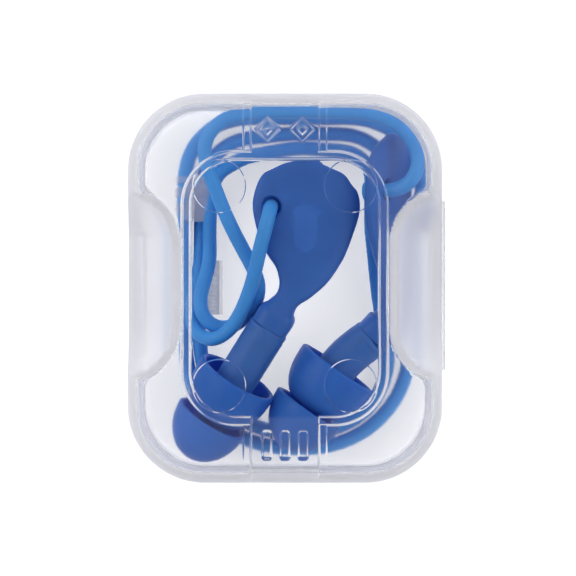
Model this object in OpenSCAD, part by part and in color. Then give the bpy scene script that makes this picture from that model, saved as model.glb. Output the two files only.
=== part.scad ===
// A pair of corded reusable earplugs in a clear hinged pocket case.
// The case lies on its base, lid up. Millimetres. +Z is up, +Y runs along the
// case, the living hinge is on +X and the snap latch on -X.

/* [Case] */
// Outside width of the case, across the hinge and the latch
case_w = 47; // [46:0.5:50]
// Outside length of the case, along the hinge
case_l = 58.2; // [57:0.5:62]
// Height of the closed case
case_h = 22; // [22:0.5:25]
// Outside radius of the case's upright corners
corner_r = 11.5; // [10:0.5:13]
// Radius that rounds the outer bottom and top edges
edge_r = 2.2; // [1.5:0.1:3]
// Thickness of the side walls
wall = 1.3; // [1.1:0.1:1.5]
// Thickness of the floor and of the lid's top
floor_t = 1.2; // [1:0.1:1.4]

/* [Lid window] */
// Width of the polished window
window_w = 28.2; // [26:0.2:30]
// Length of the polished window
window_l = 38.4; // [37:0.2:41]
// Corner radius of the window
window_r = 6.8; // [5:0.2:8]
// Depth of the window below the lid's top
window_depth = 0.8; // [0.6:0.1:0.9]
// Width of the two channels from the window to the lid's ends
channel_w = 10.2; // [9:0.2:12]

/* [Hinge and latch] */
// Length of the living hinge
hinge_l = 25.6; // [22:0.2:28]
// How far the hinge stands out of the side wall
hinge_proud = 0.8; // [0.6:0.1:1]
// Middle of the hinge and of the thumb scoops, along the case
side_y = 0.4; // [-1:0.1:1]
// Width of the snap tongue
tongue_w = 14.8; // [12:0.2:16]
// Length of the snap tongue, from its root to its hook
tongue_l = 6.4; // [5.5:0.1:7]

/* [Plugs] */
// Rim radius of the larger flange, next to the stem
base_flange_r = 6.35; // [6:0.05:6.4]
// Depth of the larger flange
base_flange_h = 8.2; // [7.6:0.1:8.4]
// Rim radius of the smaller flange, at the tip
tip_flange_r = 5.7; // [5:0.1:5.8]
// Depth of the smaller flange
tip_flange_h = 7.2; // [6.6:0.1:7.4]
// Distance between the two rims
flange_pitch = 7.6; // [7.5:0.1:7.8]
// Wall thickness of the flanges
flange_wall = 1.1; // [0.8:0.1:1.3]
// Radius of the stem sleeve
sleeve_r = 3.1; // [2.8:0.05:3.2]
// Half the thickness of the grip paddle
paddle_t = 1.3; // [1:0.05:1.4]

/* [Cord] */
// Diameter of the cord
cord_d = 2.2; // [1.8:0.1:2.3]
// Radius of the hole that the cord passes through in each grip
cord_hole_r = 1.5; // [1.3:0.05:1.7]

/* [Hidden] */
clear = [0.93, 0.94, 0.97, 0.35];
blue = [0.24, 0.40, 0.66];
deep_blue = [0.20, 0.34, 0.60];
cord_blue = [0.27, 0.48, 0.76];
film = [0.78, 0.78, 0.84];

// how far joined solids reach into each other, and a smaller step of the same kind
bite = 0.2;
fine = 0.02;
parting_z = case_h / 2;
rim_gap = 0.1;
inner_w = case_w - 2 * wall;
inner_l = case_l - 2 * wall;
inner_r = corner_r - wall;
inner_edge_r = 1.2;
lip_t = 0.6;
lip_h = 1.2;
lip_root_h = 1.5;
lip_gap = 0.15;
hinge_h = 4;
// the hinge stands out on one side only, so the case is moved by half of that
shift_x = -hinge_proud / 2;

// thumb scoops: a rod with ball ends takes the middle of the lid's long top edges away
scoop_r = 7.2;
scoop_half = 6.2;
scoop_out = 0.5;
scoop_up = 1.2;

// window and channels
step_w = 2.4;
window_t = 1;
mark_y_middle = 0.3;
top_channel_depth = 0.4;
mark_r = 3.95;
mark_h = 0.12;
mark_x = 9.8;
mark_y = 14.9;
motif_h = 0.3;
diamond_pitch = 5.2;
diamond_y = 23.6;
diamond_w = 2;
bar_pitch = 2.7;
bar_y = -23.4;
bar_size = [1.1, 4];

// latch: the tongue lies in a recess of both walls
latch_y = -0.9;
recess_w = tongue_w + 2.6;
recess_depth = 1.9;
tongue_t = 1.1;
tongue_x = -case_w / 2 + 0.5;
tongue_root_z = parting_z + 1.4;
hook_h = 0.8;
hook_out = 0.14;
hook_in = 1;
catch_z = 7.0;
catch_out = 0.1;
notch_gap = 0.15;
backing_t = 1;
backing_h = 1.6;
cheek_w = 2.4;
catch_h = 0.5;

// plug geometry along its own axis: 0 is the tip flange's rim, + runs to the grip
boss_r = 2.3;
pin_r = 1.3;
pin_from = -5.4;
pin_to = 7.2;
base_apex = flange_pitch - base_flange_h;
sleeve_gap = 0.1;
sleeve_from = base_apex + flange_wall + sleeve_gap;
// the sleeve runs straight from its seat through the larger flange and this far past its rim
sleeve_straight = [4, flange_pitch + 0.4];
sleeve_trim_r = 9;
// share of the wall's thickness left at a flange's rim
rim_share = 0.7;
tip_flat_r = 0.4;
// how far the post that carries the larger flange starts inside the smaller one's tip
post_in = 0.6;

profile_steps = 14;
base_power = 2.6;
tip_power = 2.0;

// where each plug lies: the tip flange's rim centre, the plan angle and the rise
plug_a_at = [-11.0, -19.7, 9.6];
plug_a_turn = 58;
plug_a_rise = 12;
plug_b_at = [3.7, -18.2, 9.7];
plug_b_turn = 54.8;
plug_b_rise = 3.5;

// outline of the grip: half width and half thickness at each station
grip_half_w = [2.9, 2.9, 2.2, 1.95, 3.0, 4.5, 6.1, 7.5, 8.1, 7.5, 6.1, 4.3, 2.0];
grip_half_t = [2.9, 2.9, 2.1, 1.7, 1.45, paddle_t, paddle_t, paddle_t, paddle_t,
               paddle_t, 0.96 * paddle_t, 0.85 * paddle_t, 0.6 * paddle_t];
// middle of each grip at the same stations
grip_a_line = [
    [-2.3, -5.8, 12.8], [-1.1, -3.9, 13.2], [-0.5, -2.9, 13.4], [0.5, -1.5, 13.7],
    [1.7, 0.3, 14.0], [2.6, 2.6, 14.2], [3.0, 5.4, 14.3], [3.1, 9.2, 14.3],
    [3.2, 12.4, 14.3], [3.3, 15.2, 14.2], [3.5, 17.0, 14.1], [3.6, 18.1, 14.0],
    [3.7, 18.9, 13.9]
];
grip_b_line = [
    [13.2, -7.5, 10.7], [14.9, -5.8, 10.9], [15.6, -4.8, 11.1], [16.2, -3.0, 11.4],
    [16.4, -0.8, 11.6], [16.2, 1.8, 11.8], [15.9, 5.0, 11.8], [15.6, 9.2, 11.8],
    [15.6, 13.2, 11.8], [15.8, 16.8, 11.8], [16.1, 19.3, 11.8], [16.3, 21.2, 11.8],
    [16.5, 22.8, 11.8]
];
// roll of the grip about its middle line: 0 lies flat, 90 stands on its edge
grip_a_roll = [0, 0, 0, 0, 0, 0, 0, 0, 0, 0, 0, 0, 0];
grip_b_roll = [0, 10, 30, 55, 68, 72, 70, 67, 66, 64, 60, 58, 58];
hole_a_at = [-2.1, 12.3, 14.3];
hole_b_at = [14.3, 14.6, 14.7];
hole_b_roll = 66;
hole_a_cut = 12;
hole_b_cut = 6;
stop_r = 1.8;
stop_h = 1.2;
stop_a_gap = 0.05;
stop_b_gap = 0.1;
grip_sides = 24;
grip_round = 0.72;
sleeve_sides = 24;

// middle line of each stem sleeve beyond its straight part
sleeve_a_end = [grip_a_line[0]];
sleeve_b_end = [[9.6, -10.3, 10.25], [11.3, -8.9, 10.45], grip_b_line[0]];

// cord: the free stretch from each grip to the coil, as hand-placed points
lead_a = [
    [-2.1, 12.4, 12.9], [-2.1, 12.3, 15.2], [-2.3, 11.6, 16.7], [-2.9, 9.0, 17.5],
    [-3.7, 6.2, 17.1], [-4.3, 3.4, 16.3], [-4.9, 0.9, 15.3], [-5.8, -1.7, 14.1],
    [-7.1, -4.6, 12.7], [-9.0, -7.0, 11.3], [-11.4, -8.0, 10.0], [-13.4, -6.9, 8.6],
    [-14.3, -4.4, 7.3], [-13.9, -2.0, 6.7]
];
lead_b = [
    [13.05, 14.6, 14.15], [14.3, 14.6, 14.7], [16, 14.65, 15.5], [17.4, 14.9, 16.4],
    [18.8, 15.7, 17],
    [19.8, 17.4, 17.3], [20.1, 19.8, 17.0], [19.0, 22.3, 16.8], [16.6, 24.8, 16.6],
    [12.6, 26.2, 16.4], [7.0, 26.5, 16.2], [1.0, 26.5, 16.0], [-4.5, 26.4, 15.7],
    [-8.8, 25.6, 15.2], [-11.4, 23.5, 14.8], [-12.3, 20.6, 14.4], [-11.2, 16.8, 14.1],
    [-9.9, 13.4, 13.9], [-8.5, 10.0, 13.8], [-7.2, 7.4, 13.6], [-5.8, 4.8, 13.4],
    [-4.4, 2.2, 13.0], [-3.8, -0.4, 12.3], [-4.7, -2.7, 11.1], [-6.3, -4.8, 10.1],
    [-8.4, -6.1, 9.2], [-10.8, -6.0, 8.8], [-12.5, -4.5, 9.3], [-13.0, -2.2, 9.4],
    [-12.5, 0.4, 9.0]
];
cord_sides = 8;

// coil: the doubled cord lies on the floor as one long ring
coil_left = -16.5;
coil_right = 20.4;
coil_top = 27.2;
coil_bottom = -25.8;
coil_top_r = 10.5;
coil_bottom_r = 16.8;
coil_band_w = 5.3;
coil_z = 1.4;
coil_layer = cord_d;
// one strand of the pair cuts the ring's corner on the hinge side
bend_from = [12.7, -6];
bend_to = [15.4, 15];
// where the ring is two layers high
double_to_x = 8;
double_from_y = -4;
tie_film = 0.15;
tie_gap = 0.05;
tie_from_y = 10.4;
tie_to_y = 16.8;
// the tail lies on the floor: its end shows beside the ring, the rest runs beneath it to the sleeve
tail_w = 2.5;
tail_l = 8.3;
tail_y = -4.1;
tail_t = 0.17;
tail_out = 1.6;
tail_leg_w = 1.6;
tail_leg_in = 0.6;

// cuts reach this far past what they are taken from
margin = 1;
deep = 5;
bore_l = 30;

// ---- shared shapes -------------------------------------------------------

module placed() {
    translate([shift_x, 0, 0]) children();
}

module rounded_rect(w, l, r) {
    square([w, l - 2 * r], center = true);
    square([w - 2 * r, l], center = true);
    for (x = [-1, 1], y = [-1, 1])
        translate([x * (w / 2 - r), y * (l / 2 - r)]) circle(r, $fn = 64);
}

// one upright corner with its foot rounded by radius e
module corner_post(r, e, h) {
    rotate_extrude($fn = 56) {
        translate([0, e]) square([r, h - e]);
        square([r - e, e]);
        intersection() {
            translate([r - e, e]) circle(e, $fn = 24);
            square([r, e]);
        }
    }
}

// a box with round corners and a rounded bottom edge, its foot at z = 0
module tray(w, l, h, r, e) {
    hull()
        for (x = [-1, 1], y = [-1, 1])
            translate([x * (w / 2 - r), y * (l / 2 - r), 0]) corner_post(r, e, h);
}

module scoops(grow) {
    for (s = [-1, 1])
        translate([s * (case_w / 2 + scoop_out), side_y, case_h + scoop_up]) {
            rotate([90, 0, 0])
                cylinder(r = scoop_r + grow, h = 2 * scoop_half, center = true, $fn = 96);
            for (y = [-scoop_half, scoop_half])
                translate([0, y, 0]) sphere(scoop_r + grow, $fn = 96);
        }
}

function unit(v) = v / norm(v);

// direction of a line at point i, from its neighbours
function heading(line, i) =
    let (last = len(line) - 1)
    unit(line[min(i + 1, last)] - line[max(i - 1, 0)]);

// side direction of a station: level at roll 0, turned up by roll
function side(dir, roll) =
    let (level = unit(cross([0, 0, 1], dir)), up = cross(dir, level))
    cos(roll) * level + sin(roll) * up;

function ring(centre, across, over, half_w, half_t, sides, power) = [
    for (k = [0:sides - 1])
        let (c = cos(k * 360 / sides), s = sin(k * 360 / sides))
        centre + across * half_w * sign(c) * pow(abs(c), power)
               + over * half_t * sign(s) * pow(abs(s), power)
];

// closed skin over rings of equal size
module skin(rings) {
    count = len(rings);
    sides = len(rings[0]);
    points = [for (r = rings) each r];
    sleeve = [
        for (i = [0:count - 2], k = [0:sides - 1])
            let (n = (k + 1) % sides, a = i * sides, b = a + sides)
            each [[a + k, b + k, b + n], [a + k, b + n, a + n]]
    ];
    first = [for (k = [0:sides - 1]) k];
    last = [for (k = [sides - 1:-1:0]) (count - 1) * sides + k];
    polyhedron(points, concat(sleeve, [first, last]), convexity = 6);
}

module sweep(line, half_ws, half_ts, rolls, sides, power) {
    skin([
        for (i = [0:len(line) - 1])
            let (dir = heading(line, i), across = side(dir, rolls[i]))
            ring(line[i], across, cross(dir, across), half_ws[i], half_ts[i], sides, power)
    ]);
}

module tube(line, r, sides) {
    same = [for (p = line) r];
    flat = [for (p = line) 0];
    sweep(line, same, same, flat, sides, 1);
}

// ---- case ----------------------------------------------------------------

// a ring inside the side walls, between two distances from their inner face
module inner_ring(from, to) {
    difference() {
        rounded_rect(inner_w - 2 * from, inner_l - 2 * from, inner_r - from);
        rounded_rect(inner_w - 2 * to, inner_l - 2 * to, inner_r - to);
    }
}

module case_base() color(clear) placed() {
    difference() {
        union() {
            difference() {
                tray(case_w, case_l, parting_z - rim_gap / 2, corner_r, edge_r);
                translate([0, 0, floor_t])
                    tray(inner_w, inner_l, parting_z, inner_r, inner_edge_r);
            }
            // registration lip inside the lid's wall, on a root that joins it to the base's wall
            translate([0, 0, parting_z - lip_root_h]) linear_extrude(lip_root_h + lip_h)
                inner_ring(lip_gap, lip_gap + lip_t);
            translate([0, 0, parting_z - lip_root_h]) linear_extrude(lip_root_h - rim_gap)
                inner_ring(-bite, lip_gap + lip_t);
            // wall behind the latch recess, as high as the lip
            translate([-case_w / 2 + wall - bite, latch_y - recess_w / 2 - backing_t,
                       floor_t - bite])
                cube([recess_depth + backing_t - wall + bite, recess_w + 2 * backing_t,
                      parting_z + lip_h - floor_t + bite - fine]);
        }
        translate([-case_w / 2 - margin, latch_y - recess_w / 2, parting_z - tongue_l])
            cube([margin + recess_depth, recess_w, tongue_l + deep]);
        // the lid's wall comes down either side of the recess
        for (s = [-1, 1])
            translate([-case_w / 2 - margin, latch_y + s * (recess_w / 2 + backing_t) - cheek_w / 2,
                       parting_z - rim_gap / 2])
                cube([margin + wall + lip_gap, cheek_w, deep]);
    }
    // catch ridge that the tongue's hook passes
    translate([-case_w / 2 + recess_depth - catch_out, latch_y - tongue_w / 2 + hook_in, catch_z])
        cube([catch_out + bite, tongue_w - 2 * hook_in, catch_h]);
}

module lid_body() {
    translate([0, 0, case_h]) mirror([0, 0, 1])
        tray(case_w, case_l, parting_z - rim_gap / 2, corner_r, edge_r);
}

module lid_hollow() {
    translate([0, 0, case_h - floor_t]) mirror([0, 0, 1])
        tray(inner_w, inner_l, parting_z, inner_r, inner_edge_r);
}

// the window, its step and the channels, as what they take out of the lid's top
module window_cut(drop) {
    translate([0, 0, case_h - window_depth - drop])
        linear_extrude(deep) rounded_rect(window_w, window_l, window_r);
    translate([0, 0, case_h - window_depth / 2 - drop])
        linear_extrude(deep) rounded_rect(window_w + step_w, window_l + step_w, window_r + step_w / 2);
    translate([-channel_w / 2, 0, case_h - top_channel_depth - drop])
        cube([channel_w, case_l, deep]);
    translate([-channel_w / 2, -case_l, case_h - window_depth - drop])
        cube([channel_w, case_l, deep]);
}

module case_lid() color(clear) placed() {
    difference() {
        lid_body();
        scoops(0);
        window_cut(0);
        difference() {
            lid_hollow();
            scoops(wall);
            window_cut(window_t);
            // wall behind the notch, inside the lid
            translate([-case_w / 2, latch_y - recess_w / 2 - backing_t, parting_z + lip_h + lip_gap])
                cube([recess_depth + backing_t, recess_w + 2 * backing_t, backing_h]);
        }
        // notch for the tongue's root
        translate([-case_w / 2 - 1, latch_y - recess_w / 2, 0])
            cube([1 + recess_depth, recess_w, tongue_root_z + notch_gap]);
    }
    // ejector marks under the window, plain raised discs
    for (x = [-mark_x, mark_x], y = [-mark_y, mark_y])
        translate([x, y + mark_y_middle, case_h - window_depth - window_t - mark_h])
            cylinder(r = mark_r, h = mark_h + fine, $fn = 64);
    // plain raised marks in the channels: two diamonds and three bars
    for (x = [-1, 1] * diamond_pitch / 2)
        translate([x, diamond_y, case_h - top_channel_depth - fine]) rotate(45)
            linear_extrude(motif_h) square(diamond_w, center = true);
    for (x = [-1:1] )
        translate([x * bar_pitch, bar_y, case_h - window_depth - fine]) linear_extrude(motif_h)
            square(bar_size, center = true);
}

module hinge_web() color(clear) placed() {
    translate([case_w / 2, side_y - hinge_l / 2, parting_z - hinge_h / 2])
        cube([hinge_proud, hinge_l, hinge_h]);
}

module latch_tongue() color(clear) placed() {
    translate([tongue_x, latch_y - tongue_w / 2, tongue_root_z - tongue_l])
        cube([tongue_t, tongue_w, tongue_l]);
    translate([tongue_x + tongue_t - fine, latch_y - tongue_w / 2 + hook_in,
               tongue_root_z - tongue_l])
        cube([hook_out + fine, tongue_w - 2 * hook_in, hook_h]);
}

// ---- plugs ---------------------------------------------------------------

module on_axis(at, turn, rise) {
    translate(at) rotate([0, 0, turn]) rotate([0, 90 - rise, 0]) children();
}

// outside of a flange at radius share t of its rim: how far it lies behind the rim
function dome(t, h, power) = h * pow(1 - pow(t, power), 1 / power);

module flange(rim_r, h, power, flat_r) {
    outside = [
        for (i = [0:profile_steps])
            let (r = rim_r - (rim_r - flat_r) * (1 - cos(i * 90 / profile_steps)))
            [r, -dome(min(r / rim_r, 1), h, power)]
    ];
    in_r = rim_r - flange_wall * rim_share;
    in_h = h - flange_wall;
    inside = [
        for (i = [profile_steps:-1:0])
            let (r = in_r - in_r * (1 - cos(i * 90 / profile_steps)))
            [r, -dome(min(r / in_r, 1), in_h, power)]
    ];
    rotate_extrude($fn = 72)
        polygon(concat(outside, [[flat_r, -h], [0, -h]], inside));
}

module base_flange() {
    difference() {
        translate([0, 0, flange_pitch])
            flange(base_flange_r, base_flange_h, base_power, boss_r);
        translate([0, 0, pin_from]) cylinder(r = pin_r, h = bore_l, $fn = 48);
        translate([0, 0, sleeve_from]) cylinder(r = sleeve_r, h = bore_l, $fn = 48);
    }
}

module tip_flange() {
    difference() {
        union() {
            flange(tip_flange_r, tip_flange_h, tip_power, tip_flat_r);
            translate([0, 0, -tip_flange_h + post_in])
                cylinder(r = boss_r, h = base_apex + tip_flange_h - post_in, $fn = 48);
        }
        translate([0, 0, pin_from]) cylinder(r = pin_r, h = bore_l, $fn = 48);
    }
}

module core_pin() {
    translate([0, 0, pin_from]) cylinder(r = pin_r, h = pin_to - pin_from, $fn = 48);
}

function axis_dir(turn, rise) =
    [cos(rise) * cos(turn), cos(rise) * sin(turn), sin(rise)];

module stem_sleeve(at, turn, rise, end_line) {
    dir = axis_dir(turn, rise);
    line = concat(
        [for (far = concat(sleeve_from, sleeve_straight)) at + dir * far],
        end_line
    );
    same = [for (p = line) sleeve_r];
    flat = [for (p = line) 0];
    difference() {
        sweep(line, same, same, flat, sleeve_sides, 1);
        on_axis(at, turn, rise)
            translate([0, 0, pin_from]) cylinder(r = pin_r, h = pin_to - pin_from, $fn = 48);
        on_axis(at, turn, rise)
            translate([0, 0, sleeve_from - deep]) cylinder(r = sleeve_trim_r, h = deep, $fn = 48);
    }
}

// the grip starts at the end of the sleeve's middle line, so the two meet face to face
module grip(line, rolls) {
    sweep(line, grip_half_w, grip_half_t, rolls, grip_sides, grip_round);
}

module grip_a() color(deep_blue) placed() difference() {
    grip(grip_a_line, grip_a_roll);
    translate(hole_a_at) cylinder(r = cord_hole_r, h = hole_a_cut, center = true, $fn = 48);
}

module grip_b() color(deep_blue) placed() difference() {
    grip(grip_b_line, grip_b_roll);
    translate(hole_b_at) rotate([0, hole_b_roll, 0])
        cylinder(r = cord_hole_r, h = hole_b_cut, center = true, $fn = 48);
}

module stem_sleeve_a() color(blue) placed()
    stem_sleeve(plug_a_at, plug_a_turn, plug_a_rise, sleeve_a_end);

module stem_sleeve_b() color(blue) placed()
    stem_sleeve(plug_b_at, plug_b_turn, plug_b_rise, sleeve_b_end);

module core_pin_a() color(deep_blue) placed()
    on_axis(plug_a_at, plug_a_turn, plug_a_rise) core_pin();

module core_pin_b() color(deep_blue) placed()
    on_axis(plug_b_at, plug_b_turn, plug_b_rise) core_pin();

module base_flange_a() color(blue) placed()
    on_axis(plug_a_at, plug_a_turn, plug_a_rise) base_flange();

module base_flange_b() color(blue) placed()
    on_axis(plug_b_at, plug_b_turn, plug_b_rise) base_flange();

module tip_flange_a() color(blue) placed()
    on_axis(plug_a_at, plug_a_turn, plug_a_rise) tip_flange();

module tip_flange_b() color(blue) placed()
    on_axis(plug_b_at, plug_b_turn, plug_b_rise) tip_flange();

// ---- cord and its tie ----------------------------------------------------

module cord_stop_a() color(cord_blue) placed()
    translate([hole_a_at[0], hole_a_at[1], hole_a_at[2] - paddle_t - stop_h - stop_a_gap])
        cylinder(r = stop_r, h = stop_h, $fn = 40);

module cord_stop_b() color(cord_blue) placed()
    translate(hole_b_at) rotate([0, hole_b_roll, 0])
        translate([0, 0, -paddle_t - stop_h - stop_b_gap]) cylinder(r = stop_r, h = stop_h, $fn = 40);

module cord_lead_a() color(cord_blue) placed() tube(lead_a, cord_d / 2, cord_sides);

module cord_lead_b() color(cord_blue) placed() tube(lead_b, cord_d / 2, cord_sides);

// outline of the ring, drawn in by some distance
module coil_outline(inset) {
    left = coil_left + inset;
    right = coil_right - inset;
    top = coil_top - inset;
    bottom = coil_bottom + inset;
    rt = coil_top_r - inset;
    rb = coil_bottom_r - inset;
    polygon([
        [left, bottom + rb], [left + rb, bottom], [right - rb, bottom], [right, bottom + rb],
        [right, top - rt], [right - rt, top], [left + rt, top], [left, top - rt]
    ]);
    for (x = [left + rt, right - rt]) translate([x, top - rt]) circle(rt, $fn = 64);
    for (x = [left + rb, right - rb]) translate([x, bottom + rb]) circle(rb, $fn = 96);
}

module coil_band() {
    difference() {
        coil_outline(0);
        coil_outline(coil_band_w);
    }
}

module cord_coil() color(cord_blue) placed() {
    translate([0, 0, coil_z]) linear_extrude(coil_layer) {
        coil_band();
        translate(bend_from) square(bend_to - bend_from);
    }
    translate([0, 0, coil_z]) linear_extrude(2 * coil_layer) intersection() {
        coil_band();
        translate([-case_w, double_from_y]) square([case_w + double_to_x, case_l]);
    }
}

// the stretch of the ring between two y values, grown all round
module wrapped(grow, from_y, to_y) {
    translate([0, 0, coil_z - grow]) linear_extrude(2 * (coil_layer + grow)) intersection() {
        difference() {
            coil_outline(-grow);
            coil_outline(coil_band_w + grow);
        }
        translate([coil_left - margin, from_y])
            square([coil_band_w + 2 * margin, to_y - from_y]);
    }
}

// film wrapped round the two layers of the ring
module tie_sleeve() color(film) placed() difference() {
    wrapped(tie_gap + tie_film, tie_from_y, tie_to_y);
    wrapped(tie_gap, tie_from_y - margin, tie_to_y + margin);
}

module tie_tail() color(film) placed() {
    ring_edge = coil_left + coil_band_w;
    right = ring_edge + tail_out;
    left = right - tail_w;
    leg_right = ring_edge - tail_leg_in;
    leg_left = leg_right - tail_leg_w;
    top = tail_y + tail_l;
    leg_from = top - tail_leg_w;
    leg_to = tie_from_y - tie_gap;
    translate([0, 0, floor_t + fine / 2]) linear_extrude(tail_t) polygon([
        [left, tail_y], [right, tail_y], [right, top], [leg_right, top], [leg_right, leg_to],
        [leg_left, leg_to], [leg_left, leg_from], [left, leg_from]
    ]);
}

case_base();
case_lid();
hinge_web();
latch_tongue();
grip_a();
grip_b();
stem_sleeve_a();
stem_sleeve_b();
core_pin_a();
core_pin_b();
base_flange_a();
base_flange_b();
tip_flange_a();
tip_flange_b();
cord_stop_a();
cord_stop_b();
cord_lead_a();
cord_lead_b();
cord_coil();
tie_sleeve();
tie_tail();
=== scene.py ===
"""A pair of corded reusable earplugs, folded into a clear hinged pocket case.

Shapes are worked out in millimetres about the middle of the case and are placed in the frame, in
metres, by piece(). The case lies on its base, seen from straight above through the lid.
"""

import math

import bmesh
import bpy
import numpy as np
from mathutils import Matrix, Vector


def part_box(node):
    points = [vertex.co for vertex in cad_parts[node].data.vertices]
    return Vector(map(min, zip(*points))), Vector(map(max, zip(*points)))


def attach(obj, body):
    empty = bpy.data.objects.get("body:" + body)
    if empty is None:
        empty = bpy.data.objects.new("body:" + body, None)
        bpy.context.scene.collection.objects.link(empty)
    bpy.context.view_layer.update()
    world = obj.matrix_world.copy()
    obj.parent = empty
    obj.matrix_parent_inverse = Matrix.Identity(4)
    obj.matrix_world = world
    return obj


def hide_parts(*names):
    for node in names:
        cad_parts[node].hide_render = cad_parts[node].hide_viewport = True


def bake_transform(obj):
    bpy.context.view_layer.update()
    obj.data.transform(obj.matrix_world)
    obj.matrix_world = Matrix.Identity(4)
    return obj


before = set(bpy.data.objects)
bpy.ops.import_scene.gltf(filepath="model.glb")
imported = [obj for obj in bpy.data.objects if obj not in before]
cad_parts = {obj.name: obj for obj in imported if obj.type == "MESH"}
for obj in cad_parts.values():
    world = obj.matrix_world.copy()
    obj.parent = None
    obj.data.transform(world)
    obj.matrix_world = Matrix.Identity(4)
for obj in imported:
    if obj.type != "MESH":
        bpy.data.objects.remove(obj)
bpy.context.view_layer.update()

# ---- sizes from the frame -------------------------------------------------

MM = 0.001
JOIN_WITHIN = 0.002
base_low, base_high = (np.array(corner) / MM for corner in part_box("case_base"))
lid_low, lid_high = (np.array(corner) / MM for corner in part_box("case_lid"))
web_low, web_high = (np.array(corner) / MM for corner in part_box("hinge_web"))
tongue_low, tongue_high = (np.array(corner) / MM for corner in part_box("latch_tongue"))
CENTRE_X = (base_low[0] + base_high[0]) / 2

CASE_W = base_high[0] - base_low[0]
CASE_L = base_high[1] - base_low[1]
CASE_H = lid_high[2]
LID_RIM = lid_low[2]
LIP_TOP = base_high[2]
RIM_GAP = 0.1
RIM_BEVEL = 0.12
BASE_RIM = LID_RIM - RIM_GAP
CORNER_R = 11.5
EDGE_R = 2.2
WALL = 1.3
SKIN = 1.2
INNER_EDGE_R = 1.2
LIP_OUT = WALL + 0.15
LIP_IN = LIP_OUT + 0.6

WINDOW_W, WINDOW_L, WINDOW_R = 28.2, 38.4, 6.8
WINDOW_DEPTH, WINDOW_STEP = 0.8, 2.4
CHANNEL_HALF, CHANNEL_OUTER = 5.1, 6.2
TOP_CHANNEL_DEPTH, CHANNEL_LEDGE, CHANNEL_IN = 0.4, 0.15, 1
PAD_SKIN = 1.0
MARK_R, MARK_X, MARK_Y, MARK_H, MARK_MIDDLE_Y = 3.95, 9.8, 14.9, 0.12, 0.3
MOTIF_H = 0.3
DIAMOND_X, DIAMOND_Y, DIAMOND_R, DIAMOND_HOLE_R = 2.6, 23.6, 1.75, 0.75
BAR_PITCH, BAR_Y, BAR_W, BAR_L, BAR_R = 2.7, -23.4, 1.3, 4.2, 0.4

SCOOP_R, SCOOP_HALF, SCOOP_Y = 7.2, 6.2, 0.4
scoop_x = CASE_W / 2 + 0.5
scoop_z = CASE_H + 1.2
FAR_ABOVE = 1000.0

RECESS_Y = (-9.6, 7.8)
RECESS_IN = 1.9
RECESS_FOOT = 4.6
BACKING_IN = RECESS_IN + 1.0
BACKING_UP = 1.5
NOTCH_TOP = tongue_high[2] + 0.15

CORD_D = 2.2
HOLE_R = 1.5


# ---- meshes ---------------------------------------------------------------


def piece(name, verts, faces, materials, body, node=None, haze=None):
    """A mesh object from points in millimetres about the case's middle, riding on a body."""
    mesh = bpy.data.meshes.new(name)
    points = (np.asarray(verts, float) + [CENTRE_X, 0, 0]) * MM
    mesh.from_pydata(points.tolist(), [], [list(map(int, f)) for f in faces])
    mesh.validate()
    for material in materials:
        mesh.materials.append(material)
    mesh.polygons.foreach_set("use_smooth", [True] * len(mesh.polygons))
    joined = bmesh.new()
    joined.from_mesh(mesh)
    bmesh.ops.remove_doubles(joined, verts=joined.verts, dist=JOIN_WITHIN * MM)
    bmesh.ops.dissolve_degenerate(joined, edges=joined.edges, dist=JOIN_WITHIN * MM)
    joined.to_mesh(mesh)
    joined.free()
    if haze:
        places = np.empty(len(mesh.vertices) * 3)
        mesh.vertices.foreach_get("co", places)
        x, y, z = places.reshape(-1, 3).T / MM
        mesh.attributes.new("haze", "FLOAT", "POINT").data.foreach_set("value", haze(x - CENTRE_X, y, z))
    obj = bpy.data.objects.new(name, mesh)
    bpy.context.collection.objects.link(obj)
    if body:
        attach(obj, body)
    if node:
        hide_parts(node)
    return obj


def grid_faces(rows, columns, offset=0, flip=False):
    """Quads between rings of equal size, closed round each ring."""
    faces = []
    for i in range(rows - 1):
        for k in range(columns):
            n = (k + 1) % columns
            a, b = offset + i * columns, offset + (i + 1) * columns
            quad = [a + k, a + n, b + n, b + k]
            faces.append(quad[::-1] if flip else quad)
    return faces


def ramp(distance, width):
    """0 outside a shape and 1 inside it, smooth over width; distance is negative inside."""
    t = np.clip(0.5 - distance / width, 0, 1)
    return t * t * (3 - 2 * t)


def rounded_rect_distance(x, y, w, l, r):
    """Signed distance to a rectangle with round corners about the origin."""
    qx, qy = np.abs(x) - w / 2 + r, np.abs(y) - l / 2 + r
    outside = np.hypot(np.maximum(qx, 0), np.maximum(qy, 0))
    return outside + np.minimum(np.maximum(qx, qy), 0) - r


def smooth_min(a, b, width):
    """The lower of two heights, with the crease between them rounded over width."""
    h = np.clip(0.5 + 0.5 * (b - a) / width, 0, 1)
    return b * (1 - h) + a * h - width * h * (1 - h)


# ---- case shells ----------------------------------------------------------


def stations(half, fine):
    """Places along a straight side: even steps, with closer ones between each pair in fine."""
    places = set(np.round(np.linspace(-half, half, int(half / 0.35)), 3))
    for low, high, step in fine:
        places |= set(np.round(np.arange(low, high + step / 2, step), 3))
    return np.array(sorted(p for p in places if -half <= p <= half))


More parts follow.
